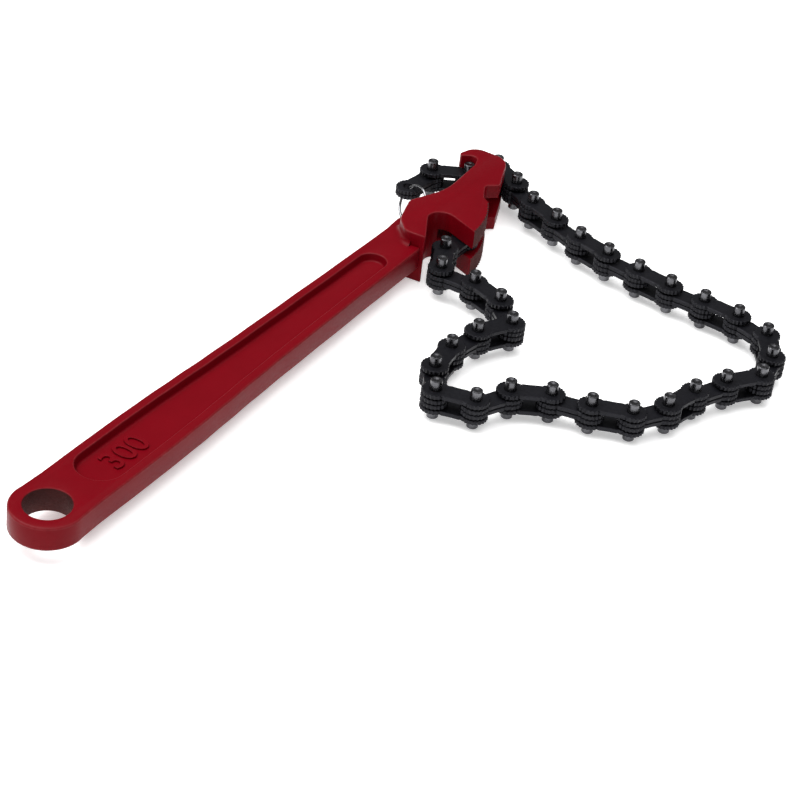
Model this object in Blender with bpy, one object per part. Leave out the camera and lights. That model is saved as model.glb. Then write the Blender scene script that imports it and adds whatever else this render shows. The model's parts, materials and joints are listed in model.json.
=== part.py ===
"""Chain pipe wrench, nominal 300 mm: a forged handle with a forked head, and a chain pinned in the fork.

The origin is on the underside of the head, on the anchor pin's axis. X runs along the handle towards
the hook, Y towards the side where the hook opens, and Z along the chain's pins. The part lies on Z = 0.
"""

import math

import bmesh
import bpy
from mathutils import Matrix, Vector
from mathutils.geometry import tessellate_polygon

MM = 0.001

# Gap between pieces that don't move against each other, and round the pins
FIT_GAP = 0.3 * MM

# Chain
PITCH = 15.875 * MM
PLATE = 1.8 * MM
PLATE_END_RADIUS = 5.75 * MM
PLATE_WAIST = 8.2 * MM
WAIST_STEPS = 4
END_STEPS = 8
PIN_RADIUS = 2.3 * MM
PIN_LENGTH = 17.0 * MM
PIN_SIDES = 10
BORE_SIDES = 8
BORE_RADIUS = (PIN_RADIUS + FIT_GAP) / math.cos(math.pi / BORE_SIDES)
BUSH_WALL = 1.2 * MM
BUSH_RADIUS = BORE_RADIUS + BUSH_WALL
INNER_SPREAD = 0.4 * MM
SIDE_PLAY = 0.6 * MM
INNER_HALF = INNER_SPREAD / 2 + PLATE
OUTER_INSIDE = INNER_HALF + SIDE_PLAY
OUTER_HALF = OUTER_INSIDE + PLATE

# Heading of each link as the chain lies, in degrees from +X, from the anchor pin to the free end
HEADINGS = (
    178, -155, -89, -109, -133, 151, 170, -173, -148, -75, -26,
    -59, -77, -68, -32, -14, -25, -36, 9, 32, 72, 86,
    89, 83, 82, 76, 69, 68, 56, 61, 156, 122, 172,
)


# Head: two cheeks with a slot between them, solid at the boss. At the jaw the slot takes the first link
# only, so the cheeks are thicker there
CHEEK = 6.2 * MM
SLOT_PLAY = 0.8 * MM
SLOT = 2 * OUTER_HALF + SLOT_PLAY
JAW_SLOT_PLAY = 1.2 * MM
JAW_SLOT = 2 * INNER_HALF + JAW_SLOT_PLAY
JAW_SLOT_TO_X = 18.0 * MM
HEAD_THICKNESS = 2 * CHEEK + SLOT
MID_Z = HEAD_THICKNESS / 2
SLOT_ROOT_X = -4.0 * MM
SLOT_MOUTH_X = -9.5 * MM
SLOT_MOUTH_Y = 9.5 * MM
CORNER_STEP = math.radians(14)

# The chain lies on its pins, and climbs by even steps, which its side play takes up, to just below the
# head's middle
STEPS_UP = 8
CHAIN_BELOW_MIDDLE = 0.1 * MM
STEP_UP = (MID_Z - CHAIN_BELOW_MIDDLE - PIN_LENGTH / 2) / STEPS_UP
LINKS_IN_HEAD = 4

# Corners of the cheek, as x, y and the radius that rounds them, from the hook's nose clockwise
NOSE_TIP = (45.8, 31.0, 0.9)
NOSE_FRONT = ((55.0, 28.4, 5.0), (55.2, 11.9, 9.0))
CHIN = (32.9, 3.2, 0.4)
JAW_NOTCH = ((28.2, 7.9, 2.2), (19.6, 3.4, 3.0))
JAW_START = (16.6, -0.6)
JAW_END = (-8.2, -8.2)
POCKET = ((2.6, 20.0, 5.9), (-25.6, 5.0, 0.4))
BOSS = ((-26.6, 14.4, 6.0), (-19.3, 21.4, 12.0), (-3.9, 26.2, 6.0))
BACK = ((14.5, 18.9, 30.0),)
HOOK_SEAT = ((41.2, 20.6, 2.0), (49.3, 23.2, 2.8), (44.5, 29.1, 0.5))

# The hook's seat and tip are drawn round the hooked pin, and the nose's front behind the pin before it.
# With another pitch they move with those pins, and the back of the hook's arm moves half as far
DRAWN_PITCH = 15.875 * MM
LINKS_PAST_HOOK = 2

# Fillet where the bar runs into the boss, as distance out from the boss and height over the bar
FILLET_PROFILE = ((2.6, -0.4), (2.6, 0.0), (1.2, 0.5), (0.4, 1.3), (0.0, 2.7), (-0.6, 2.7), (-0.6, -0.4))
FILLET_LIMIT_X = -10.0 * MM
FILLET_LIMIT_Y = 8.6 * MM

# Jaw teeth
JAW_RADIUS = 48.0 * MM
TOOTH_COUNT = 14
TOOTH_DEPTH = 0.8 * MM

# Anchor pin, whose bores are blind because the real pin's ends are ground flush and painted over
ANCHOR_RADIUS = 2.6 * MM
ANCHOR_SIDES = 12
ANCHOR_WALL = 1.8 * MM

# Handle, as distance along X and half width
CENTRE_Y = 16.6 * MM
HANDLE_THICKNESS = 10.0 * MM
HALF_WIDTHS = (
    (-243, 13.3), (-222, 13.45), (-203, 13.4), (-184, 13.1), (-166, 12.5),
    (-148, 11.8), (-125, 11.2), (-95, 10.7), (-62, 10.15), (-30, 9.8),
)
NECK_TOP = ((-20.5, 26.4), (-12.0, 27.1), (-5.0, 26.6))
NECK_INSIDE = ((-5.0, 16.5), (-8.4, 15.6), (-24.6, 6.9))
EDGE_ROUND = 1.3 * MM
HANG_X = -255.7 * MM
END_RADIUS = 14.0 * MM
HANG_RADIUS = 8.8 * MM
HANG_CHAMFER = 0.9 * MM

# Recess in both flat sides of the handle
RIM = 3.6 * MM
RECESS_DEPTH = 3.2 * MM
RECESS_DRAFT = 1.4 * MM
RECESS_FROM_X = -236.0 * MM
RECESS_TO_X = -41.0 * MM
RECESS_END = 8.0 * MM

# Split ring on the free end of the chain
RING_RADIUS = 8.0 * MM
RING_WIRE_RADIUS = 0.6 * MM
RING_FROM_LINK = (-5.05 * MM, -5.575 * MM, -2.6 * MM)
RING_NORMAL = (-0.786, 0.423, 0.45)


def clear_scene():
    for item in list(bpy.data.objects):
        bpy.data.objects.remove(item, do_unlink=True)


def make_material(name, colour, metallic, roughness):
    material = bpy.data.materials.new(name)
    material.use_nodes = True
    shader = material.node_tree.nodes["Principled BSDF"]
    shader.inputs["Base Color"].default_value = (*colour, 1.0)
    shader.inputs["Metallic"].default_value = metallic
    shader.inputs["Roughness"].default_value = roughness
    material.diffuse_color = (*colour, 1.0)
    return material


def finish(shell, name, material, place=None, sharp_angle=40):
    """Turns a closed bmesh into a named object, and puts its origin where place says."""
    bmesh.ops.recalc_face_normals(shell, faces=shell.faces)
    mesh = bpy.data.meshes.new(name)
    shell.to_mesh(mesh)
    shell.free()
    mesh.materials.append(material)
    mesh.shade_smooth()
    mesh.set_sharp_from_angle(angle=math.radians(sharp_angle))
    item = bpy.data.objects.new(name, mesh)
    bpy.context.scene.collection.objects.link(item)
    if place is not None:
        item.matrix_world = place
    return item


def add_ring(shell, points, z):
    return [shell.verts.new((x, y, z)) for x, y in points]


def add_wall(shell, low, high):
    count = len(low)
    for index in range(count):
        after = (index + 1) % count
        shell.faces.new((low[index], low[after], high[after], high[index]))


def add_cap(shell, *rings):
    """Closes the first ring with flat faces, leaving the other rings open as holes in it."""
    corners = [corner for ring in rings for corner in ring]
    for triangle in tessellate_polygon([[corner.co for corner in ring] for ring in rings]):
        shell.faces.new([corners[index] for index in triangle])


def circle(centre, radius, sides):
    points = []
    for index in range(sides):
        angle = 2 * math.pi * (index + 0.5) / sides
        points.append((centre[0] + radius * math.cos(angle), centre[1] + radius * math.sin(angle)))
    return points


def rounded(corners):
    """Points of an outline with corners given as x, y and radius in millimetres. Radius 0 stays sharp."""
    points = []
    count = len(corners)
    for index, (x, y, radius) in enumerate(corners):
        corner = Vector((x, y)) * MM
        if not radius:
            points.append(tuple(corner))
            continue
        before = (Vector(corners[index - 1][:2]) * MM - corner).normalized()
        after = (Vector(corners[(index + 1) % count][:2]) * MM - corner).normalized()
        turn = math.pi - before.angle(after)
        centre = corner + (before + after).normalized() * radius * MM / math.cos(turn / 2)
        start = corner + before * radius * MM * math.tan(turn / 2) - centre
        side = 1 if before.x * after.y - before.y * after.x < 0 else -1
        steps = max(1, math.ceil(turn / CORNER_STEP))
        for step in range(steps + 1):
            points.append(tuple(centre + Matrix.Rotation(side * turn * step / steps, 2) @ start))
    return points


def inset(points, distance):
    """The outline moved inwards by a distance. The points run anticlockwise."""
    moved = []
    count = len(points)
    for index, point in enumerate(points):
        here = Vector(point)
        back = (here - Vector(points[index - 1])).normalized()
        ahead = (Vector(points[(index + 1) % count]) - here).normalized()
        inward = Vector((-back.y - ahead.y, back.x + ahead.x)).normalized()
        reach = distance / max(0.5, inward.dot(Vector((-ahead.y, ahead.x))))
        moved.append(tuple(here + inward * reach))
    return moved


def jaw_teeth():
    """Saw teeth along the arc between the jaw's two ends."""
    start = Vector(JAW_START) * MM
    end = Vector(JAW_END) * MM
    chord = end - start
    rise = math.sqrt(JAW_RADIUS ** 2 - (chord.length / 2) ** 2)
    inward = Vector((chord.y, -chord.x)).normalized()
    centre = (start + end) / 2 + inward * rise
    first = start - centre
    sweep = -2 * math.asin(chord.length / 2 / JAW_RADIUS)
    points = []
    for tooth in range(TOOTH_COUNT):
        for part, radius in ((0.0, JAW_RADIUS), (0.72, JAW_RADIUS - TOOTH_DEPTH)):
            turned = Matrix.Rotation(sweep * (tooth + part) / TOOTH_COUNT, 2) @ first
            points.append(tuple((centre + turned.normalized() * radius) / MM) + (0,))
    points.append(JAW_END + (0,))
    return points


def pin_places():
    """The chain's pins in plan, from the anchor pin to the hole at the free end."""
    places = [(0.0, 0.0)]
    for heading in HEADINGS:
        x, y = places[-1]
        angle = math.radians(heading)
        places.append((x + PITCH * math.cos(angle), y + PITCH * math.sin(angle)))
    return places


def moved_with(links_past, corners, share=1.0):
    """The corners for the pitch in use, moved with the pin that has so many links past it."""
    pin_x, pin_y = pin_places()[len(HEADINGS) - links_past]
    drift = share * (1 - DRAWN_PITCH / PITCH) / MM
    return [(x + pin_x * drift, y + pin_y * drift, radius) for x, y, radius in corners]


def cheek_outline():
    tip, *seat = moved_with(LINKS_PAST_HOOK, (NOSE_TIP, *HOOK_SEAT))
    front = moved_with(LINKS_PAST_HOOK + 1, NOSE_FRONT)
    back = moved_with(LINKS_PAST_HOOK, BACK, 0.5)
    return rounded([tip, *front, CHIN, *JAW_NOTCH, *jaw_teeth(), *POCKET, *BOSS, *back, *seat])


def handle_outline():
    """Anticlockwise outline of the bar, from the neck along its upper edge, round the end and back."""
    points = [(x * MM, y * MM) for x, y in NECK_INSIDE[::-1]]
    points += [(x * MM, y * MM) for x, y in NECK_TOP[::-1]]
    points += [(x * MM, CENTRE_Y + half * MM) for x, half in HALF_WIDTHS[::-1]]
    steps = 13
    for step in range(steps + 1):
        angle = math.radians(68 + 224 * step / steps)
        points.append((HANG_X + END_RADIUS * math.cos(angle), CENTRE_Y + END_RADIUS * math.sin(angle)))
    points += [(x * MM, CENTRE_Y - half * MM) for x, half in HALF_WIDTHS]
    return points


def half_width(x):
    stations = [(at * MM, half * MM) for at, half in HALF_WIDTHS]
    for (left, wide), (right, narrow) in zip(stations, stations[1:]):
        if left <= x <= right:
            return wide + (narrow - wide) * (x - left) / (right - left)
    return stations[-1][1]


def recess_outline():
    """Anticlockwise outline of the recess, which keeps an even rim and has half-round ends."""
    upper = []
    round_ends = []
    for end_x, side in ((RECESS_FROM_X, 1), (RECESS_TO_X, -1)):
        radius = half_width(end_x + side * RECESS_END) - RIM
        round_ends.append(end_x + side * radius)
        for step in range(6):
            angle = math.pi / 2 * step / 6
            x = end_x + side * radius * (1 - math.cos(angle))
            upper.append((x, radius * math.sin(angle)))
    for at, half in HALF_WIDTHS:
        if round_ends[0] < at * MM < round_ends[1]:
            upper.append((at * MM, half * MM - RIM))
    upper.sort()
    lower = [(x, -y) for x, y in upper if y > 0]
    return [(x, CENTRE_Y + y) for x, y in lower + upper[::-1]]


def make_bar():
    """The bar of the forging, with a recess in each flat side and the hang hole through its end."""
    outline = handle_outline()
    hole = (HANG_X, CENTRE_Y)
    recess = recess_outline()
    low = (HEAD_THICKNESS - HANDLE_THICKNESS) / 2
    high = low + HANDLE_THICKNESS
    shell = bmesh.new()
    sides = []
    holes = []
    for face, inward in ((low, 1), (high, -1)):
        edge = add_ring(shell, inset(outline, EDGE_ROUND), face)
        side = add_ring(shell, outline, face + inward * EDGE_ROUND)
        rim = add_ring(shell, circle(hole, HANG_RADIUS + HANG_CHAMFER, 20), face)
        bore = add_ring(shell, circle(hole, HANG_RADIUS, 20), face + inward * HANG_CHAMFER)
        brink = add_ring(shell, recess, face)
        floor = add_ring(shell, inset(recess, RECESS_DRAFT), face + inward * RECESS_DEPTH)
        add_cap(shell, edge, rim, brink)
        add_wall(shell, edge, side)
        add_wall(shell, rim, bore)
        add_wall(shell, brink, floor)
        add_cap(shell, floor)
        sides.append(side)
        holes.append(bore)
    add_wall(shell, *sides)
    add_wall(shell, *holes)
    return shell


def boss_arc():
    """Points of the boss's rounded side, from the jaw's side to the hook's side."""
    back = moved_with(LINKS_PAST_HOOK, BACK, 0.5)[0]
    arc = rounded((POCKET[-1][:2] + (0,), *BOSS, back[:2] + (0,)))[1:-1]
    return [Vector(point) for point in arc if point[0] < FILLET_LIMIT_X and point[1] > FILLET_LIMIT_Y]


def make_fillet(side):
    """A fillet swept along the boss, on the upper side of the bar for 1 and on the lower side for -1."""
    arc = boss_arc()
    bar_face = MID_Z + side * HANDLE_THICKNESS / 2
    shell = bmesh.new()
    sections = []
    for index, point in enumerate(arc):
        along = (arc[min(index + 1, len(arc) - 1)] - arc[max(index - 1, 0)]).normalized()
        outward = Vector((-along.y, along.x))
        section = []
        for out, up in FILLET_PROFILE:
            spot = point + outward * out * MM
            section.append(shell.verts.new((spot.x, spot.y, bar_face + side * up * MM)))
        sections.append(section)
    for first, second in zip(sections, sections[1:]):
        add_wall(shell, first, second)
    shell.faces.new(sections[0])
    shell.faces.new(sections[-1])
    return shell


def prism(points, low, high):
    shell = bmesh.new()
    bottom = add_ring(shell, points, low)
    top = add_ring(shell, points, high)
    add_cap(shell, bottom)
    add_cap(shell, top)
    add_wall(shell, bottom, top)
    return shell


def use_boolean(item, helper, operation):
    helper.hide_render = True
    helper.display_type = "WIRE"
    modifier = item.modifiers.new(helper.name, "BOOLEAN")
    modifier.operation = operation
    modifier.solver = "EXACT"
    modifier.object = helper


def make_handle(material):
    handle = finish(prism(cheek_outline(), 0, HEAD_THICKNESS), "handle", material)
    far = 0.2
    jaw_area = (
        (SLOT_MOUTH_X, -far), (JAW_SLOT_TO_X + 0.001, -far), (JAW_SLOT_TO_X + 0.001, far),
        (SLOT_ROOT_X, far), (SLOT_ROOT_X, SLOT_MOUTH_Y), (SLOT_MOUTH_X, SLOT_MOUTH_Y),
    )
    nose_area = ((JAW_SLOT_TO_X, -far), (far, -far), (far, far), (JAW_SLOT_TO_X, far))
    for name, area, gap in (("jaw_slot_cutter", jaw_area, JAW_SLOT), ("nose_slot_cutter", nose_area, SLOT)):
        cutter = finish(prism(area, MID_Z - gap / 2, MID_Z + gap / 2), name, material)
        use_boolean(handle, cutter, "DIFFERENCE")
    bore_points = circle((0, 0), ANCHOR_RADIUS + FIT_GAP, ANCHOR_SIDES)
    bore_shell = prism(bore_points, ANCHOR_WALL, HEAD_THICKNESS - ANCHOR_WALL)
    bore = finish(bore_shell, "anchor_bore_cutter", material)
    bar = finish(make_bar(), "bar_helper", material)
    use_boolean(handle, bore, "DIFFERENCE")
    use_boolean(handle, bar, "UNION")
    for name, side in (("upper_fillet_helper", 1), ("lower_fillet_helper", -1)):
        use_boolean(handle, finish(make_fillet(side), name, material), "UNION")


def make_anchor_pin(material):
    low = ANCHOR_WALL + FIT_GAP
    points = circle((0, 0), ANCHOR_RADIUS, ANCHOR_SIDES)
    finish(prism(points, low, HEAD_THICKNESS - low), "anchor_pin", material)


def plate_outline():
    """Anticlockwise outline of a link plate, with two round ends and a waist between them."""
    points = []
    waist_half = PLATE_WAIST / 2
    leave = math.radians(52)
    for centre, facing in ((PITCH, 0.0), (0.0, math.pi)):
        for step in range(END_STEPS + 1):
            angle = facing + (math.pi - leave) * (2 * step / END_STEPS - 1)
            x = centre + PLATE_END_RADIUS * math.cos(angle)
            points.append((x, PLATE_END_RADIUS * math.sin(angle)))
        side = 1 if facing == 0.0 else -1
        last = points[-1]
        for step in range(1, WAIST_STEPS):
            share = step / WAIST_STEPS
            x = last[0] + (PITCH - 2 * last[0]) * share
            dip = (abs(last[1]) - waist_half) * 4 * share * (1 - share)
            points.append((x, side * (abs(last[1]) - dip)))
    return points


def make_inner_link(name, place, material, first_bore):
    """Two plates joined by a bush round each pin."""
    outline = plate_outline()
    bores = [circle((0, 0), first_bore, BORE_SIDES), circle((PITCH, 0), BORE_RADIUS, BORE_SIDES)]
    bushes = [circle((0, 0), BUSH_RADIUS, BORE_SIDES), circle((PITCH, 0), BUSH_RADIUS, BORE_SIDES)]
    shell = bmesh.new()
    bore_ends = []
    bush_ends = []
    for side in (-1, 1):
        outside = add_ring(shell, outline, side * INNER_HALF)
        inside = add_ring(shell, outline, side * INNER_SPREAD / 2)
        bore_rings = [add_ring(shell, points, side * INNER_HALF) for points in bores]
        bush_rings = [add_ring(shell, points, side * INNER_SPREAD / 2) for points in bushes]
        add_cap(shell, outside, *bore_rings)
        add_cap(shell, inside, *bush_rings)
        add_wall(shell, outside, inside)
        bore_ends.append(bore_rings)
        bush_ends.append(bush_rings)
    for low, high in (*zip(*bore_ends), *zip(*bush_ends)):
        add_wall(shell, low, high)
    return finish(shell, name, material, place)


def make_pin_plate(name, place, material):
    """The lower outer plate, with the two pins riveted in it."""
    outline = plate_outline()
    pins = [circle((0, 0), PIN_RADIUS, PIN_SIDES), circle((PITCH, 0), PIN_RADIUS, PIN_SIDES)]
    shell = bmesh.new()
    levels = ((-OUTER_HALF, -PIN_LENGTH / 2), (-OUTER_INSIDE, PIN_LENGTH / 2))
    edges = []
    for plate_z, pin_z in levels:
        edge = add_ring(shell, outline, plate_z)
        roots = [add_ring(shell, points, plate_z) for points in pins]
        tips = [add_ring(shell, points, pin_z) for points in pins]
        add_cap(shell, edge, *roots)
        for root, tip in zip(roots, tips):
            add_wall(shell, root, tip)
            add_cap(shell, tip)
        edges.append(edge)
    add_wall(shell, *edges)
    return finish(shell, name, material, place)


def make_cover_plate(name, place, material):
    """The upper outer plate, held on the pins."""
    outline = plate_outline()
    radius = PIN_RADIUS + FIT_GAP / math.cos(math.pi / PIN_SIDES)
    holes = [circle((0, 0), radius, PIN_SIDES), circle((PITCH, 0), radius, PIN_SIDES)]
    shell = bmesh.new()
    edges = []
    hole_ends = []
    for z in (OUTER_INSIDE, OUTER_HALF):
        edge = add_ring(shell, outline, z)
        rings = [add_ring(shell, points, z) for points in holes]
        add_cap(shell, edge, *rings)
        edges.append(edge)
        hole_ends.append(rings)
    add_wall(shell, *edges)
    for low, high in zip(*hole_ends):
        add_wall(shell, low, high)
    return finish(shell, name, material, place)


def link_level(index, count):
    """Height of a link's middle. It rises by one step for each link that is nearer the head."""
    near_start = STEPS_UP - index
    near_hook = min(STEPS_UP, index - (count - LINKS_IN_HEAD - STEPS_UP))
    steps = max(0, near_start, near_hook)
    if index == count - 1:
        steps = STEPS_UP - 1
    return PIN_LENGTH / 2 + STEP_UP * steps


def make_chain(inner_material, outer_material):
    """Inner and outer links in turn, each with its origin on the pin that it swings on."""
    count = len(HEADINGS)
    for index, (heading, (x, y)) in enumerate(zip(HEADINGS, pin_places())):
        level = link_level(index, count)
        place = Matrix.Translation((x, y, level)) @ Matrix.Rotation(math.radians(heading), 4, "Z")
        number = f"{index + 1:02d}"
        if index % 2 == 0:
            first_bore = BORE_RADIUS
            if index == 0:
                first_bore = (ANCHOR_RADIUS + FIT_GAP) / math.cos(math.pi / BORE_SIDES)
            make_inner_link(f"inner_link_{number}", place, inner_material, first_bore)
        else:
            make_pin_plate(f"pin_plate_{number}", place, outer_material)
            make_cover_plate(f"cover_plate_{number}", place, outer_material)


def make_split_ring(material):
    turns = 22
    sides = 6
    shell = bmesh.new()
    rings = []
    for turn in range(turns):
        angle = 2 * math.pi * turn / turns
        ring = []
        for side in range(sides):
            around = 2 * math.pi * side / sides
            reach = RING_RADIUS + RING_WIRE_RADIUS * math.cos(around)
            point = (reach * math.cos(angle), reach * math.sin(angle), RING_WIRE_RADIUS * math.sin(around))
            ring.append(shell.verts.new(point))
        rings.append(ring)
    for index in range(turns):
        add_wall(shell, rings[index], rings[(index + 1) % turns])
    facing = Vector(RING_NORMAL).to_track_quat("Z", "Y").to_matrix().to_4x4()
    shell.transform(Matrix.Translation(RING_FROM_LINK) @ facing)
    count = len(HEADINGS)
    last_hole = (*pin_places()[-1], link_level(count - 1, count))
    return finish(shell, "split_ring", material, Matrix.Translation(last_hole), 70)


def main():
    clear_scene()
    red_paint = make_material("red_paint", (0.42, 0.01, 0.015), 0.0, 0.35)
    blackened = make_material("blackened_steel", (0.02, 0.022, 0.025), 0.8, 0.4)
    dark_plate = make_material("dark_plate", (0.03, 0.032, 0.035), 0.8, 0.45)
    pin_steel = make_material("pin_steel", (0.3, 0.3, 0.31), 1.0, 0.35)
    wire_steel = make_material("wire_steel", (0.6, 0.6, 0.62), 1.0, 0.25)
    make_handle(red_paint)
    make_anchor_pin(pin_steel)
    make_chain(blackened, dark_plate)
    make_split_ring(wire_steel)


main()
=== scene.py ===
# Looks for the chain pipe wrench: painted forging, dark chain, bright wire ring, pale floor.
# Lengths in the settings are millimetres and angles are degrees, unless a note says otherwise.
import json
import math

import bmesh
import bpy
from mathutils import Matrix, Vector
from mathutils.geometry import tessellate_polygon

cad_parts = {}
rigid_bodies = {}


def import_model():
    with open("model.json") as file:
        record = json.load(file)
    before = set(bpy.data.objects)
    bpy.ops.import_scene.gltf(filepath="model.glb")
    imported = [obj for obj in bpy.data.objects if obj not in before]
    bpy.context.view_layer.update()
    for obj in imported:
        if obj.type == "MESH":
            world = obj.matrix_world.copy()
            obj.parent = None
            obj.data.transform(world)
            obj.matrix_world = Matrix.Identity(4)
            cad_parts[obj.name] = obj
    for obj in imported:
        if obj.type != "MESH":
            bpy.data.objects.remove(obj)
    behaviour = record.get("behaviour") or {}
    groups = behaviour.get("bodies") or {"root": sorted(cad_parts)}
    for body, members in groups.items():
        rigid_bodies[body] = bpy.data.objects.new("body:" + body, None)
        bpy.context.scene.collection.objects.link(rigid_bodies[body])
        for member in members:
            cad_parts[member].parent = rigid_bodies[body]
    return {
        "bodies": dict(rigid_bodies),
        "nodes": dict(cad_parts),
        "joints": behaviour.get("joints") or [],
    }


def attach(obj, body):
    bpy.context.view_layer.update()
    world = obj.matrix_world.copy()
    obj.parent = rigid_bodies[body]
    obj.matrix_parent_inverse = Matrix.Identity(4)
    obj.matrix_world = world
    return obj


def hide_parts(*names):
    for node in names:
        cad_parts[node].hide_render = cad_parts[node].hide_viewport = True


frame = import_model()
mm = 0.001
nodes = frame["nodes"]
joints = {joint["child"]: joint for joint in frame["joints"]}


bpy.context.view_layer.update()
print("frame loaded with", len(nodes), "nodes")


# Mesh helpers

outlineStep = 6  # each rounded corner turns by this much per point at most
sharpAngle = 32  # edges steeper than this stay crisp


def addRing(shell, points, z):
    return [shell.verts.new((x, y, z)) for x, y in points]


def addWall(shell, low, high):
    count = len(low)
    for index in range(count):
        after = (index + 1) % count
        shell.faces.new((low[index], low[after], high[after], high[index]))


def addWalls(shell, rings):
    for first, second in zip(rings, rings[1:]):
        addWall(shell, first, second)


def addCap(shell, *rings):
    corners = [corner for ring in rings for corner in ring]
    for triangle in tessellate_polygon([[corner.co for corner in ring] for ring in rings]):
        shell.faces.new([corners[index] for index in triangle])


def smoothMesh(mesh, sharp=sharpAngle):
    mesh.shade_smooth()
    mesh.set_sharp_from_angle(angle=math.radians(sharp))


def meshFrom(shell, name, sharp=sharpAngle):
    bmesh.ops.recalc_face_normals(shell, faces=shell.faces)
    mesh = bpy.data.meshes.new(name)
    shell.to_mesh(mesh)
    shell.free()
    smoothMesh(mesh, sharp)
    return mesh


def addObject(name, data, place=None):
    item = bpy.data.objects.new(name, data)
    bpy.context.scene.collection.objects.link(item)
    if place is not None:
        item.matrix_world = place
    return item


def circlePoints(centre, radius, sides):
    turn = 2 * math.pi / sides
    return [
        (centre[0] + radius * math.cos(turn * step), centre[1] + radius * math.sin(turn * step))
        for step in range(sides)
    ]


def quarterArc(steps):
    # Sine and cosine at even steps over a quarter turn
    angles = [math.pi / 2 * step / steps for step in range(steps + 1)]
    return [(math.sin(angle), math.cos(angle)) for angle in angles]


def roundedOutline(corners):
    # Corners are x, y and radius. Points come out in metres, with 0 for a plain corner
    # and 1 for a rounded one as the third value.
    points = []
    count = len(corners)
    for index, (x, y, radius) in enumerate(corners):
        corner = Vector((x, y)) * mm
        if not radius:
            points.append((corner.x, corner.y, 0.0))
            continue
        before = (Vector(corners[index - 1][:2]) * mm - corner).normalized()
        after = (Vector(corners[(index + 1) % count][:2]) * mm - corner).normalized()
        turn = math.pi - before.angle(after)
        centre = corner + (before + after).normalized() * radius * mm / math.cos(turn / 2)
        start = corner + before * radius * mm * math.tan(turn / 2) - centre
        side = 1 if before.x * after.y - before.y * after.x < 0 else -1
        steps = max(1, math.ceil(turn / math.radians(outlineStep)))
        for step in range(steps + 1):
            point = centre + Matrix.Rotation(side * turn * step / steps, 2) @ start
            points.append((point.x, point.y, 1.0))
    return points


def insetOutline(points, distance):
    # Points run anticlockwise, and a third value scales the distance at that point
    mitre = 0.6  # keeps a sharp corner from moving much further than its sides
    moved = []
    count = len(points)
    for index, point in enumerate(points):
        here = Vector(point[:2])
        back = (here - Vector(points[index - 1][:2])).normalized()
        ahead = (Vector(points[(index + 1) % count][:2]) - here).normalized()
        inward = Vector((-back.y - ahead.y, back.x + ahead.x)).normalized()
        reach = distance * (point[2] if len(point) > 2 else 1.0)
        reach /= max(mitre, inward.dot(Vector((-ahead.y, ahead.x))))
        moved.append(tuple(here + inward * reach))
    return moved


def roundedPrism(outline, low, high, edge, steps, holes=(), holeEdge=0.0):
    # A flat body with rounded edges; each hole is a centre, a radius and a number of sides
    shell = bmesh.new()
    levels = [(edge * (1 - sine), edge * (1 - cosine)) for sine, cosine in quarterArc(steps)]
    rings = [addRing(shell, insetOutline(outline, inset), low + rise) for inset, rise in levels]
    for inset, rise in levels[::-1]:
        rings.append(addRing(shell, insetOutline(outline, inset), high - rise))
    addWalls(shell, rings)
    lowMouths = []
    highMouths = []
    for centre, radius, sides in holes:
        heights = ((holeEdge, low), (0.0, low + holeEdge), (0.0, high - holeEdge), (holeEdge, high))
        column = [
            addRing(shell, circlePoints(centre, radius + wider, sides), z) for wider, z in heights
        ]
        addWalls(shell, column)
        lowMouths.append(column[0])
        highMouths.append(column[-1])
    addCap(shell, rings[0], *lowMouths)
    addCap(shell, rings[-1], *highMouths)
    return shell


def applyBooleans(item, helpers):
    for helper, operation in helpers:
        modifier = item.modifiers.new(helper.name, "BOOLEAN")
        modifier.operation = operation
        modifier.solver = "EXACT"
        modifier.object = helper
    graph = bpy.context.evaluated_depsgraph_get()
    mesh = bpy.data.meshes.new_from_object(item.evaluated_get(graph))
    item.modifiers.clear()
    item.data = mesh
    for helper, operation in helpers:
        bpy.data.objects.remove(helper, do_unlink=True)


# Shader helpers

surfaceLook = {
    "group": "unevenSurface", "grainDetail": 6.0, "grainRoughness": 0.6,
    "mottleDetail": 3.0, "mottleScale": 0.09,  # the mottle's scale as a share of the grain's
    "bumpDistance": 0.0004,  # metres
    "grainSpan": (0.35, 0.65),  # where most of the grain lies between 0 and 1
}


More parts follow.
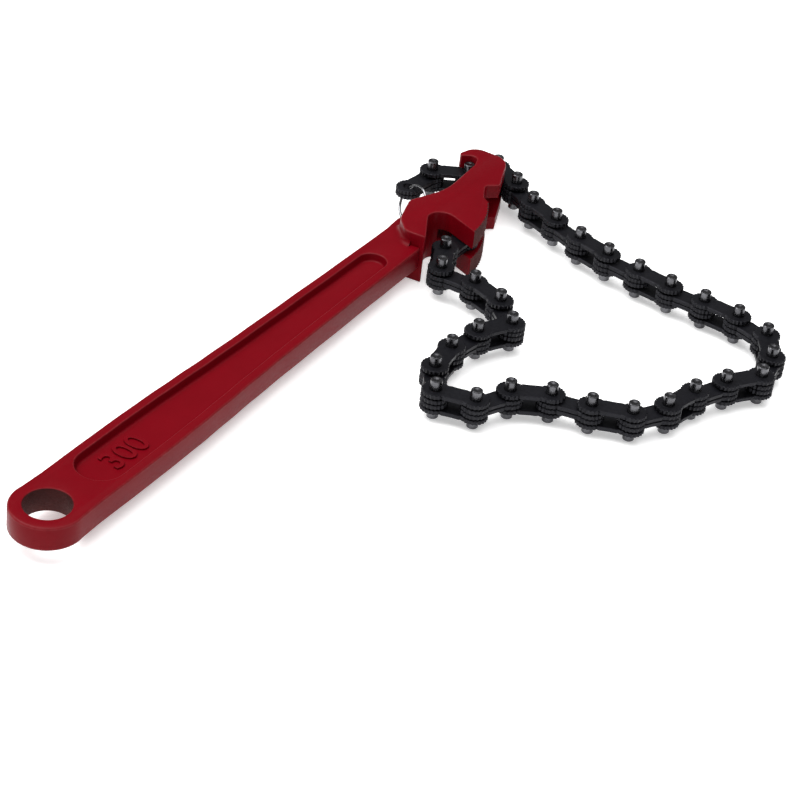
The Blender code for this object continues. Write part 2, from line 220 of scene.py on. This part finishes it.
def makeSurfaceGroup(settings):
    # Turns a position into a fine grain, a broad mottle and a bumped normal
    group = bpy.data.node_groups.new(settings["group"], "ShaderNodeTree")
    group.interface.new_socket("Scale", in_out="INPUT", socket_type="NodeSocketFloat")
    group.interface.new_socket("Bump", in_out="INPUT", socket_type="NodeSocketFloat")
    group.interface.new_socket("Grain", in_out="OUTPUT", socket_type="NodeSocketFloat")
    group.interface.new_socket("Mottle", in_out="OUTPUT", socket_type="NodeSocketFloat")
    group.interface.new_socket("Normal", in_out="OUTPUT", socket_type="NodeSocketVector")
    start = group.nodes.new("NodeGroupInput")
    end = group.nodes.new("NodeGroupOutput")
    place = group.nodes.new("ShaderNodeTexCoord")
    grain = group.nodes.new("ShaderNodeTexNoise")
    grain.inputs["Detail"].default_value = settings["grainDetail"]
    grain.inputs["Roughness"].default_value = settings["grainRoughness"]
    mottle = group.nodes.new("ShaderNodeTexNoise")
    mottle.inputs["Detail"].default_value = settings["mottleDetail"]
    broad = group.nodes.new("ShaderNodeMath")
    broad.operation = "MULTIPLY"
    broad.inputs[1].default_value = settings["mottleScale"]
    bump = group.nodes.new("ShaderNodeBump")
    bump.inputs["Distance"].default_value = settings["bumpDistance"]
    link = group.links.new
    link(place.outputs["Object"], grain.inputs["Vector"])
    link(place.outputs["Object"], mottle.inputs["Vector"])
    link(start.outputs["Scale"], grain.inputs["Scale"])
    link(start.outputs["Scale"], broad.inputs[0])
    link(broad.outputs[0], mottle.inputs["Scale"])
    link(grain.outputs["Fac"], bump.inputs["Height"])
    link(start.outputs["Bump"], bump.inputs["Strength"])
    link(grain.outputs["Fac"], end.inputs["Grain"])
    link(mottle.outputs["Fac"], end.inputs["Mottle"])
    link(bump.outputs["Normal"], end.inputs["Normal"])
    return group


surfaceGroup = makeSurfaceGroup(surfaceLook)


def plainMaterial(name, colour, roughness, metallic, gloss):
    material = bpy.data.materials.new(name)
    material.use_nodes = True
    material.diffuse_color = (*colour, 1.0)
    shader = material.node_tree.nodes["Principled BSDF"]
    shader.inputs["Base Color"].default_value = (*colour, 1.0)
    shader.inputs["Roughness"].default_value = roughness
    shader.inputs["Metallic"].default_value = metallic
    shader.inputs["Specular IOR Level"].default_value = gloss
    return material, shader


def surfaceMaterial(name, look):
    # The colours blend over the mottle, and the roughness follows the grain
    material, shader = plainMaterial(
        name, look["colours"][0], look["roughness"][0], look["metallic"], look["gloss"]
    )
    tree = material.node_tree
    surface = tree.nodes.new("ShaderNodeGroup")
    surface.node_tree = surfaceGroup
    surface.inputs["Scale"].default_value = look["scale"]
    surface.inputs["Bump"].default_value = look["bump"]
    blend = tree.nodes.new("ShaderNodeMix")
    blend.data_type = "RGBA"
    blend.inputs[6].default_value = (*look["colours"][0], 1.0)  # the mix's colour A
    blend.inputs[7].default_value = (*look["colours"][1], 1.0)  # the mix's colour B
    rough = tree.nodes.new("ShaderNodeMapRange")
    rough.inputs["From Min"].default_value = surfaceLook["grainSpan"][0]
    rough.inputs["From Max"].default_value = surfaceLook["grainSpan"][1]
    rough.inputs["To Min"].default_value = look["roughness"][0]
    rough.inputs["To Max"].default_value = look["roughness"][1]
    link = tree.links.new
    link(surface.outputs["Mottle"], blend.inputs[0])
    link(blend.outputs[2], shader.inputs["Base Color"])
    link(surface.outputs["Grain"], rough.inputs["Value"])
    link(rough.outputs["Result"], shader.inputs["Roughness"])
    link(surface.outputs["Normal"], shader.inputs["Normal"])
    return material


# Head: corners are x, y and radius, in order round the outline

head = {
    "thickness": 22.0, "edge": 0.5, "edgeSteps": 3,
    "nose": ((45.8, 31.0, 1.6), (55.0, 28.4, 6.5), (55.2, 11.9, 9.0), (32.9, 3.2, 0.4)),
    "jawNotch": ((28.2, 7.9, 2.2), (19.6, 3.4, 3.0)),
    "jawStart": (16.6, -0.6), "jawEnd": (-8.2, -8.2), "jawRadius": 48.0,
    "teeth": 14, "toothDepth": 0.8, "toothLean": 0.72,
    "pocket": ((2.6, 20.0, 5.9), (-25.6, 5.0, 0.4)),
    "boss": ((-26.6, 14.4, 6.0), (-19.3, 21.4, 12.0), (-3.9, 26.2, 6.0)),
    "back": (14.5, 18.9, 30.0),
    "seat": ((41.2, 20.6, 2.0), (49.3, 23.2, 2.8), (44.5, 29.1, 0.5)),
    "slot": 9.6, "jawSlot": 5.2, "jawSlotTo": 18.0,  # two widths, and the x where they meet
    "slotRoot": -4.0, "slotMouth": (-9.5, 9.5), "slotOverlap": 1.0, "slotReach": 200.0,
}


def jawArc(settings):
    # Centre of the toothed arc, the direction of its first tooth, and the angle it runs through
    start = Vector(settings["jawStart"])
    end = Vector(settings["jawEnd"])
    chord = end - start
    radius = settings["jawRadius"]
    rise = math.sqrt(radius ** 2 - (chord.length / 2) ** 2)
    centre = (start + end) / 2 + Vector((chord.y, -chord.x)).normalized() * rise
    return centre, (start - centre).normalized(), -2 * math.asin(chord.length / 2 / radius)


def jawTeeth(settings):
    centre, first, sweep = jawArc(settings)
    radius = settings["jawRadius"]
    points = []
    for tooth in range(settings["teeth"]):
        for part, depth in ((0.0, 0.0), (settings["toothLean"], settings["toothDepth"])):
            turned = Matrix.Rotation(sweep * (tooth + part) / settings["teeth"], 2) @ first
            points.append((*(centre + turned * (radius - depth)), 0))
    points.append((*settings["jawEnd"], 0))
    return points


def headOutline(settings):
    corners = [
        *settings["nose"], *settings["jawNotch"], *jawTeeth(settings),
        *settings["pocket"], *settings["boss"], settings["back"], *settings["seat"],
    ]
    return roundedOutline(corners)[::-1]


# Handle bar: widths are x and half the width at that x

handle = {
    "centreY": 16.6, "thickness": 10.0, "edge": 1.0, "edgeSteps": 4,
    "halfWidths": (
        (-243, 13.3), (-222, 13.45), (-203, 13.4), (-184, 13.1), (-166, 12.5),
        (-148, 11.8), (-125, 11.2), (-95, 10.7), (-62, 10.15), (-30, 9.8),
    ),
    "stationStep": 3,
    "neckTop": ((-20.5, 26.4), (-12.0, 27.1), (-5.0, 26.6)),
    "neckInside": ((-5.0, 16.5), (-8.4, 15.6), (-24.6, 6.9)),
    "hangX": -255.7, "hangRadius": 8.8, "hangEdge": 0.4, "hangSides": 56,
    "endRadius": 13.84, "endFrom": 80, "endTurn": 200, "endSteps": 40,
    "rim": 3.6, "recessDepth": 3.2, "recessDraft": 0.6, "recessLip": 0.45, "recessFillet": 0.9,
    "recessFrom": -236.0, "recessTo": -41.0, "recessEndSteps": 15,
    "recessWidthAt": 8, "recessStraight": (10.5, 6.5),  # distances in from the recess's ends
    "lipSteps": 3, "floorSteps": 4,
}


def halfWidth(x):
    stations = handle["halfWidths"]
    for (left, wide), (right, narrow) in zip(stations, stations[1:]):
        if left <= x <= right:
            share = (x - left) / (right - left)
            return wide + (narrow - wide) * (3 - 2 * share) * share * share
    return stations[0][1] if x < stations[0][0] else stations[-1][1]


def barOutline(settings):
    centre = settings["centreY"]
    widths = settings["halfWidths"]
    stations = list(range(widths[0][0], widths[-1][0] + 1, settings["stationStep"]))
    points = list(settings["neckInside"][::-1]) + list(settings["neckTop"][::-1])
    points += [(x, centre + halfWidth(x)) for x in stations[::-1]]
    for step in range(settings["endSteps"] + 1):
        share = settings["endTurn"] * step / settings["endSteps"]
        angle = math.radians(settings["endFrom"] + share)
        x = settings["hangX"] + settings["endRadius"] * math.cos(angle)
        points.append((x, centre + settings["endRadius"] * math.sin(angle)))
    points += [(x, centre - halfWidth(x)) for x in stations]
    return [(x * mm, y * mm) for x, y in points]


def recessOutline(settings):
    upper = []
    for endX, side in ((settings["recessFrom"], 1), (settings["recessTo"], -1)):
        radius = halfWidth(endX + side * settings["recessWidthAt"]) - settings["rim"]
        for sine, cosine in quarterArc(settings["recessEndSteps"])[:-1]:
            upper.append((endX + side * radius * (1 - cosine), radius * sine))
    x = settings["recessFrom"] + settings["recessStraight"][0]
    while x < settings["recessTo"] - settings["recessStraight"][1]:
        upper.append((x, halfWidth(x) - settings["rim"]))
        x += settings["stationStep"]
    upper.sort()
    lower = [(x, -y) for x, y in upper if y > 0]
    points = lower + upper[::-1]
    return [(x * mm, (settings["centreY"] + y) * mm) for x, y in points]


def recessProfile(settings):
    # Distance in from the recess's outline and depth, from the lip over the wall to the floor
    lip = settings["recessLip"]
    fillet = settings["recessFillet"]
    wall = lip + settings["recessDraft"]
    profile = []
    for sine, cosine in quarterArc(settings["lipSteps"]):
        profile.append((lip * sine, lip * (1 - cosine)))
    for sine, cosine in quarterArc(settings["floorSteps"]):
        down = settings["recessDepth"] - fillet + fillet * sine
        profile.append((wall + fillet * (1 - cosine), down))
    return profile


def makeBar(settings):
    outline = barOutline(settings)
    recess = recessOutline(settings)
    centre = (settings["hangX"] * mm, settings["centreY"] * mm)
    low = (head["thickness"] - settings["thickness"]) / 2 * mm
    high = low + settings["thickness"] * mm
    edge = settings["edge"] * mm
    rounding = settings["hangEdge"] * mm
    shell = bmesh.new()
    sides = []
    bores = []
    for face, inward in ((low, 1), (high, -1)):
        rings = []
        hang = []
        for sine, cosine in quarterArc(settings["edgeSteps"]):
            ring = insetOutline(outline, edge * (1 - sine))
            rings.append(addRing(shell, ring, face + inward * edge * (1 - cosine)))
            radius = settings["hangRadius"] * mm + rounding * (1 - sine)
            circle = circlePoints(centre, radius, settings["hangSides"])
            hang.append(addRing(shell, circle, face + inward * rounding * (1 - cosine)))
        floor = []
        for across, down in recessProfile(settings):
            ring = insetOutline(recess, across * mm)
            floor.append(addRing(shell, ring, face + inward * down * mm))
        addCap(shell, rings[0], hang[0], floor[0])
        for group in (rings, hang, floor):
            addWalls(shell, group)
        addCap(shell, floor[-1])
        sides.append(rings[-1])
        bores.append(hang[-1])
    addWall(shell, *sides)
    addWall(shell, *bores)
    return addObject("barShape", meshFrom(shell, "barShape"))


fillet = {
    "reach": 2.6, "rise": 2.7, "sink": 0.4, "overlap": 0.6, "steps": 8,
    "limitX": -10.0, "limitY": 8.6,  # the part of the boss's arc that the fillet follows
}


def makeFillet(settings, side):
    # A hollow fillet where the bar runs into the boss, above it for 1 and below it for -1
    ends = ((*head["pocket"][-1][:2], 0), *head["boss"], (*head["back"][:2], 0))
    arc = []
    for x, y, rounded in roundedOutline(ends)[1:-1]:
        if x < settings["limitX"] * mm and y > settings["limitY"] * mm:
            arc.append(Vector((x, y)))
    face = (head["thickness"] + side * handle["thickness"]) / 2
    profile = [(settings["reach"], -settings["sink"])]
    for sine, cosine in quarterArc(settings["steps"]):
        profile.append((settings["reach"] * (1 - sine), settings["rise"] * (1 - cosine)))
    profile.append((-settings["overlap"], settings["rise"]))
    profile.append((-settings["overlap"], -settings["sink"]))
    shell = bmesh.new()
    sections = []
    for index, point in enumerate(arc):
        along = (arc[min(index + 1, len(arc) - 1)] - arc[max(index - 1, 0)]).normalized()
        outward = Vector((-along.y, along.x))
        section = []
        for out, up in profile:
            spot = point + outward * out * mm
            section.append(shell.verts.new((spot.x, spot.y, (face + side * up) * mm)))
        sections.append(section)
    addWalls(shell, sections)
    shell.faces.new(sections[0])
    shell.faces.new(sections[-1])
    return addObject("filletShape", meshFrom(shell, "filletShape"))


def slotShape(corners, gap):
    shell = bmesh.new()
    points = [(x * mm, y * mm) for x, y in corners]
    low = addRing(shell, points, (head["thickness"] - gap) / 2 * mm)
    high = addRing(shell, points, (head["thickness"] + gap) / 2 * mm)
    addCap(shell, low)
    addCap(shell, high)
    addWall(shell, low, high)
    return addObject("slotShape", meshFrom(shell, "slotShape"))


def makeForging():
    outline = headOutline(head)
    edge = head["edge"] * mm
    shell = roundedPrism(outline, 0.0, head["thickness"] * mm, edge, head["edgeSteps"])
    body = addObject("forging", meshFrom(shell, "forging"))
    far = head["slotReach"]
    root = head["slotRoot"]
    change = head["jawSlotTo"]
    past = change + head["slotOverlap"]
    mouthX, mouthY = head["slotMouth"]
    jawCorners = (
        (mouthX, -far), (past, -far), (past, far), (root, far), (root, mouthY), (mouthX, mouthY),
    )
    noseCorners = ((change, -far), (far, -far), (far, far), (change, far))
    applyBooleans(body, [
        (slotShape(jawCorners, head["jawSlot"]), "DIFFERENCE"),
        (slotShape(noseCorners, head["slot"]), "DIFFERENCE"),
        (makeBar(handle), "UNION"),
        (makeFillet(fillet, 1), "UNION"),
        (makeFillet(fillet, -1), "UNION"),
    ])
    smoothMesh(body.data)
    return body


sizeMark = {
    "text": "300", "x": -212.0, "y": 16.4, "letterSize": 14.0, "raise": 0.5,
    "bevel": 0.12, "lift": 0.1,  # the lift is from the recess's floor to mid-letter
}


def makeSizeMark(settings):
    curve = bpy.data.curves.new("sizeMark", "FONT")
    curve.body = settings["text"]
    curve.size = settings["letterSize"] * mm
    curve.align_x = "CENTER"
    curve.align_y = "CENTER"
    curve.extrude = settings["raise"] * mm
    curve.bevel_depth = settings["bevel"] * mm
    item = addObject("sizeMarkCurve", curve)
    floor = (head["thickness"] + handle["thickness"]) / 2 - handle["recessDepth"]
    item.location = (settings["x"] * mm, settings["y"] * mm, (floor + settings["lift"]) * mm)
    bpy.context.view_layer.update()
    graph = bpy.context.evaluated_depsgraph_get()
    mesh = bpy.data.meshes.new_from_object(item.evaluated_get(graph))
    place = item.matrix_world.copy()
    bpy.data.objects.remove(item, do_unlink=True)
    mesh.materials.clear()
    return addObject("sizeMark", mesh, place)


# Paint: plain red all over, worn to dark metal on the teeth, darkened with the same dark colour as
# painted shade inside the hang hole, and lighter on the edges, partly rubbed thin and partly a
# painted highlight

paint = {
    "colours": ((0.12, 0.0005, 0.0035), (0.148, 0.0008, 0.0048)), "roughness": (0.3, 0.42),
    "metallic": 0.0, "gloss": 0.07, "scale": 900.0, "bump": 0.06,
}
# Dark metal where the teeth are worn bare, and painted shade inside the hang hole
wornAndShade = {
    "colours": ((0.03, 0.006, 0.006), (0.08, 0.016, 0.014)), "roughness": (0.45, 0.7),
    "metallic": 0.3, "gloss": 0.2, "scale": 1500.0, "bump": 0.5,
    "nearTeeth": 1.2, "nearBore": 0.1, "tiltLimit": 0.5,
}
# Lighter red on the rounded edges: partly paint rubbed thin, partly a painted highlight
rubbedAndHighlit = {
    "colours": ((0.115, 0.0006, 0.0036), (0.185, 0.014, 0.018)), "roughness": (0.3, 0.45),
    "metallic": 0.0, "gloss": 0.1, "scale": 5000.0, "bump": 0.2,
    "tilt": (0.15, 0.97), "barTo": -27.0,
}


def wearAndShadeFaces(mesh, settings, slotIndex):
    # The paint is worn to dark metal on the toothed face; inside the hang hole the same dark colour
    # is painted shade
    centre, first, sweep = jawArc(head)
    bore = Vector((handle["hangX"], handle["centreY"]))
    for polygon in mesh.polygons:
        spot = Vector(polygon.center[:2]) / mm
        turned = first.angle_signed(spot - centre)
        onArc = abs((spot - centre).length - head["jawRadius"]) < settings["nearTeeth"]
        onTeeth = onArc and 0 < turned / abs(sweep) < 1
        inBore = (spot - bore).length < handle["hangRadius"] + settings["nearBore"]
        if (onTeeth or inBore) and abs(polygon.normal.z) < settings["tiltLimit"]:
            polygon.material_index = slotIndex


def rubAndHighlightEdges(mesh, settings, slotIndex):
    # The rounded edges of the head, the bar and the recess get a lighter red, partly paint rubbed
    # thin and partly a painted highlight
    middle = head["thickness"] / 2 * mm
    shallow, steep = settings["tilt"]
    for polygon in mesh.polygons:
        piece = handle if polygon.center.x < settings["barTo"] * mm else head
        face = piece["thickness"] / 2 * mm
        height = abs(polygon.center.z - middle)
        rounded = shallow < abs(polygon.normal.z) < steep
        if rounded and face - piece["edge"] * mm < height < face:
            polygon.material_index = slotIndex


redPaint = surfaceMaterial("redPaint", paint)
wornAndShadedPaint = surfaceMaterial("wornAndShadedPaint", wornAndShade)
rubbedAndHighlitPaint = surfaceMaterial("rubbedAndHighlitPaint", rubbedAndHighlit)

forging = makeForging()
forging.data.materials.clear()
for material in (redPaint, wornAndShadedPaint, rubbedAndHighlitPaint):
    forging.data.materials.append(material)
wornAndShadedSlot, rubbedAndHighlitSlot = 1, 2  # their places in the list above
rubAndHighlightEdges(forging.data, rubbedAndHighlit, rubbedAndHighlitSlot)
wearAndShadeFaces(forging.data, wornAndShade, wornAndShadedSlot)
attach(forging, "forging")
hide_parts("handle")
mark = makeSizeMark(sizeMark)
mark.data.materials.append(redPaint)
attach(mark, "forging")
print("forging made with", len(forging.data.polygons), "faces")


# Chain: heights are from a link's middle

chain = {
    "pitch": 15.875, "plate": 1.8, "endRadius": 5.59, "waist": 8.2, "edge": 0.22, "edgeSteps": 1,
    "endSteps": 40, "endLeaves": 52, "waistSteps": 14,
    "sawPitch": 1.6, "sawDepth": 0.42, "plainWaist": 7.0,
    "boreRadius": 2.42, "boreEdge": 0.15, "sides": 24, "bushRadius": 3.6, "bushProud": 0.3,
    "spread": 0.4, "play": 0.6,  # gap between inner plates, and from inner to outer ones
    "pinRadius": 2.3, "pinLength": 17.0, "pressFit": 0.01, "slideFit": 0.06,
    # Radius and depth below the pin's end, from the dimple out over the rim
    "pinEnd": ((0.5175, 0.28), (1.15, 0.06), (1.75, 0.0), (2.1, 0.06), (2.3, 0.3)),
    "pinCut": 0.1, "brightFrom": 0.15,  # heights above the outer plates
}


def smoothPlate(settings):
    # The smooth outline of a plate, with round ends and a hollow waist
    pitch = settings["pitch"]
    radius = settings["endRadius"]
    leave = math.radians(settings["endLeaves"])
    ends = settings["endSteps"]
    waist = settings["waistSteps"]
    smooth = []
    for centre, facing, side in ((pitch, 0.0, 1), (0.0, math.pi, -1)):
        for step in range(ends + 1):
            angle = facing + (math.pi - leave) * (2 * step / ends - 1)
            smooth.append(Vector((centre + radius * math.cos(angle), radius * math.sin(angle))))
        last = smooth[-1]
        for step in range(1, waist):
            share = step / waist
            x = last.x + (pitch - 2 * last.x) * share
            dip = (abs(last.y) - settings["waist"] / 2) * 4 * share * (1 - share)
            smooth.append(Vector((x, side * (abs(last.y) - dip))))
    return smooth


def plateOutline(settings):
    # The saw teeth cut inwards from the smooth outline, except at the waist
    smooth = smoothPlate(settings)
    lengths = [0.0]
    for index, point in enumerate(smooth):
        lengths.append(lengths[-1] + (smooth[(index + 1) % len(smooth)] - point).length)
    corners = 2 * round(lengths[-1] / settings["sawPitch"])
    saw = []
    index = 0
    for corner in range(corners):
        along = lengths[-1] * corner / corners
        while lengths[index + 1] < along:
            index += 1
        share = (along - lengths[index]) / (lengths[index + 1] - lengths[index])
        first = smooth[index]
        second = smooth[(index + 1) % len(smooth)]
        point = first.lerp(second, share)
        inward = Vector((first.y - second.y, second.x - first.x)).normalized()
        plain = abs(point.x - settings["pitch"] / 2) < settings["plainWaist"] / 2
        depth = 0.0 if plain else settings["sawDepth"] * (corner % 2)
        saw.append(tuple((point + inward * depth) * mm))
    return saw


def outerLevels(settings):
    inside = settings["spread"] / 2 + settings["plate"] + settings["play"]
    return inside, inside + settings["plate"]


def pinShell(settings, x):
    # A riveted pin with a rounded rim and a shallow dimple in each end
    half = settings["pinLength"] / 2
    profile = [(radius, half - depth) for radius, depth in settings["pinEnd"]]
    profile.append((settings["pinRadius"], outerLevels(settings)[1] + settings["pinCut"]))
    shell = bmesh.new()
    rings = []
    for radius, z in [(radius, -z) for radius, z in profile] + profile[::-1]:
        circle = circlePoints((x * mm, 0), radius * mm, settings["sides"])
        rings.append(addRing(shell, circle, z * mm))
    addWalls(shell, rings)
    addCap(shell, rings[0])
    addCap(shell, rings[-1])
    return shell


def bushShell(settings, x):
    half = settings["spread"] / 2 + settings["bushProud"]
    bore = settings["boreRadius"]
    outside = settings["bushRadius"]
    shell = bmesh.new()
    rings = []
    for radius, z in ((bore, -half), (outside, -half), (outside, half), (bore, half)):
        circle = circlePoints((x * mm, 0), radius * mm, settings["sides"])
        rings.append(addRing(shell, circle, z * mm))
    addWalls(shell, rings + rings[:1])
    return shell


def plateShells(settings, lows, hole):
    # One plate for each height of an underside
    outline = plateOutline(settings)
    holes = [((x * mm, 0), hole * mm, settings["sides"]) for x in (0, settings["pitch"])]
    shells = []
    edge = settings["edge"] * mm
    rim = settings["boreEdge"] * mm
    for low in lows:
        high = (low + settings["plate"]) * mm
        steps = settings["edgeSteps"]
        shells.append(roundedPrism(outline, low * mm, high, edge, steps, holes, rim))
    return shells


def meshOfShells(shells, name):
    joined = bmesh.new()
    for shell in shells:
        bmesh.ops.recalc_face_normals(shell, faces=shell.faces)
        mesh = bpy.data.meshes.new("part")
        shell.to_mesh(mesh)
        shell.free()
        joined.from_mesh(mesh)
        bpy.data.meshes.remove(mesh)
    return meshFrom(joined, name)


def innerMesh(settings):
    gap = settings["spread"] / 2
    shells = plateShells(settings, (gap, -gap - settings["plate"]), settings["boreRadius"])
    shells += [bushShell(settings, x) for x in (0, settings["pitch"])]
    return meshOfShells(shells, "innerLinkMesh")


def pinPlateMesh(settings):
    hole = settings["pinRadius"] + settings["pressFit"]
    shells = plateShells(settings, (-outerLevels(settings)[1],), hole)
    shells += [pinShell(settings, x) for x in (0, settings["pitch"])]
    return meshOfShells(shells, "pinPlateMesh")


def coverMesh(settings):
    hole = settings["pinRadius"] + settings["slideFit"]
    return meshOfShells(plateShells(settings, (outerLevels(settings)[0],), hole), "coverPlateMesh")


oxide = {
    "colours": ((0.005, 0.005, 0.007), (0.012, 0.012, 0.016)), "roughness": (0.34, 0.52),
    "metallic": 0.6, "gloss": 0.3, "scale": 700.0, "bump": 0.25,
}
shaft = {
    "colours": ((0.06, 0.06, 0.065), (0.15, 0.15, 0.16)), "roughness": (0.2, 0.34),
    "metallic": 1.0, "gloss": 0.5, "scale": 900.0, "bump": 0.2,
}
blackSteel = surfaceMaterial("blackSteel", oxide)
pinSteel = surfaceMaterial("pinSteel", shaft)

innerLook = innerMesh(chain)
pinPlateLook = pinPlateMesh(chain)
coverLook = coverMesh(chain)
for look in (innerLook, pinPlateLook, coverLook):
    look.materials.append(blackSteel)
pinPlateLook.materials.append(pinSteel)
brightSlot = 1
brightFrom = (outerLevels(chain)[1] + chain["brightFrom"]) * mm
for polygon in pinPlateLook.polygons:
    if abs(polygon.center.z) > brightFrom:
        polygon.material_index = brightSlot

links = sorted(body for body in frame["bodies"] if body.startswith("link_"))
for index, body in enumerate(links):
    here = Vector(joints[body]["pos_m"])
    following = links[index + 1] if index + 1 < len(links) else "ring"
    there = Vector(joints[following]["pos_m"])
    heading = Matrix.Rotation(math.atan2(there.y - here.y, there.x - here.x), 4, "Z")
    number = body[-2:]
    if index % 2 == 0:
        looks = [("innerLink" + number, innerLook, "inner_link_" + number, "inner_plate")]
    else:
        looks = [
            ("pinPlate" + number, pinPlateLook, "pin_plate_" + number, "outer_plate"),
            ("coverPlate" + number, coverLook, "cover_plate_" + number, "outer_plate"),
        ]
    for name, mesh, node, slot in looks:
        turned = mesh.copy()
        turned.transform(heading)
        item = addObject(name, turned, Matrix.Translation(here))
        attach(item, body)
        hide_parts(node)
nodes["anchor_pin"].data.materials.clear()
nodes["anchor_pin"].data.materials.append(pinSteel)
print("chain made with", len(links), "links")


# Ring

ring = {
    "radius": 8.0, "wire": 0.6, "centre": (15.4, 34.8, 8.0), "normal": (-0.786, 0.423, 0.45),
    "turnSteps": 96, "wireSides": 12, "sharp": 60,
}
wire = {
    "colours": ((0.18, 0.18, 0.19), (0.28, 0.28, 0.29)), "roughness": (0.14, 0.24),
    "metallic": 1.0, "gloss": 0.5, "scale": 400.0, "bump": 0.05,
}


def makeRing(settings):
    shell = bmesh.new()
    rings = []
    for turn in range(settings["turnSteps"]):
        angle = 2 * math.pi * turn / settings["turnSteps"]
        loop = []
        for side in range(settings["wireSides"]):
            around = 2 * math.pi * side / settings["wireSides"]
            reach = settings["radius"] + settings["wire"] * math.cos(around)
            height = settings["wire"] * math.sin(around)
            spot = (reach * math.cos(angle), reach * math.sin(angle), height)
            loop.append(shell.verts.new([value * mm for value in spot]))
        rings.append(loop)
    addWalls(shell, rings + rings[:1])
    mesh = meshFrom(shell, "splitRing", settings["sharp"])
    mesh.transform(Vector(settings["normal"]).to_track_quat("Z", "Y").to_matrix().to_4x4())
    centre = [value * mm for value in settings["centre"]]
    return addObject("splitRing", mesh, Matrix.Translation(centre))


splitRing = makeRing(ring)
splitRing.data.materials.append(surfaceMaterial("wireSteel", wire))
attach(splitRing, "ring")
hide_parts("split_ring")
print("ring made")


# Floor, light and camera: lengths here are metres

# The sky is dark where the flat tops would mirror it, and bright overhead. Each of its steps is
# a height, from 0 at the horizon to 1 overhead, and a brightness.
stageLook = {
    "half": 3.0, "drop": 0.0001, "colour": (0.92, 0.92, 0.92), "roughness": 0.9, "gloss": 0.1,
    "glow": 0.4, "world": 3.0,
    "sky": ((0.0, 0.25), (0.12, 0.05), (0.74, 0.05), (0.88, 1.0)),
}


def makeFloor(settings):
    shell = bmesh.new()
    half = settings["half"]
    edges = addRing(shell, ((-half, -half), (half, -half), (half, half), (-half, half)), 0.0)
    shell.faces.new(edges)
    floor = addObject("floor", meshFrom(shell, "floor"))
    floor.location = (0.0, 0.0, -settings["drop"])
    material, shader = plainMaterial(
        "floorPaint", settings["colour"], settings["roughness"], 0.0, settings["gloss"]
    )
    shader.inputs["Emission Color"].default_value = (1.0, 1.0, 1.0, 1.0)
    shader.inputs["Emission Strength"].default_value = settings["glow"]
    floor.data.materials.append(material)


def makeSky(settings):
    world = bpy.data.worlds.new("studio")
    bpy.context.scene.world = world
    world.use_nodes = True
    tree = world.node_tree
    background = tree.nodes["Background"]
    background.inputs["Strength"].default_value = settings["world"]
    place = tree.nodes.new("ShaderNodeTexCoord")
    parts = tree.nodes.new("ShaderNodeSeparateXYZ")
    sky = tree.nodes.new("ShaderNodeValToRGB")
    while len(sky.color_ramp.elements) < len(settings["sky"]):
        sky.color_ramp.elements.new(1.0)
    for element, (height, shade) in zip(sky.color_ramp.elements, settings["sky"]):
        element.position = height
        element.color = (shade, shade, shade, 1.0)
    tree.links.new(place.outputs["Generated"], parts.inputs["Vector"])
    tree.links.new(parts.outputs["Z"], sky.inputs["Fac"])
    tree.links.new(sky.outputs["Color"], background.inputs["Color"])


# Both lamps point at the target; power is in watts
lampTarget = (-0.08, -0.04, 0.0)
lamps = (
    {"name": "keyLamp", "from": (-0.35, 0.55, 0.9), "size": 0.8, "power": 9.0},
    {"name": "sideLamp", "from": (-0.9, -0.5, 0.5), "size": 0.6, "power": 1.2},
)


def makeLamp(settings):
    lamp = bpy.data.lights.new(settings["name"], "AREA")
    lamp.energy = settings["power"]
    lamp.size = settings["size"]
    item = addObject(settings["name"], lamp)
    spot = Vector(settings["from"])
    turn = (Vector(lampTarget) - spot).to_track_quat("-Z", "Y").to_matrix().to_4x4()
    item.matrix_world = Matrix.Translation(spot) @ turn


view = {
    "place": (-0.7632, -0.3797, 0.5132), "look": (0.7291, 0.3828, -0.5673),
    "right": (0.4648, -0.8854, 0.0), "roll": 7.118, "lens": 105.97, "sensor": 36.0,
}


def makeCamera(settings):
    data = bpy.data.cameras.new("camera")
    data.sensor_width = settings["sensor"]
    data.lens = settings["lens"]
    item = addObject("camera", data)
    look = Vector(settings["look"]).normalized()
    level = Vector(settings["right"]).normalized()
    above = level.cross(look)
    roll = math.radians(settings["roll"])
    right = level * math.cos(roll) + above * math.sin(roll)
    up = above * math.cos(roll) - level * math.sin(roll)
    turn = Matrix((right, up, -look)).transposed().to_4x4()
    item.matrix_world = Matrix.Translation(settings["place"]) @ turn
    bpy.context.scene.camera = item


makeFloor(stageLook)
makeSky(stageLook)
for lampSettings in lamps:
    makeLamp(lampSettings)
makeCamera(view)
bpy.context.scene.view_settings.view_transform = "Standard"
print("stage, lamps and camera made")
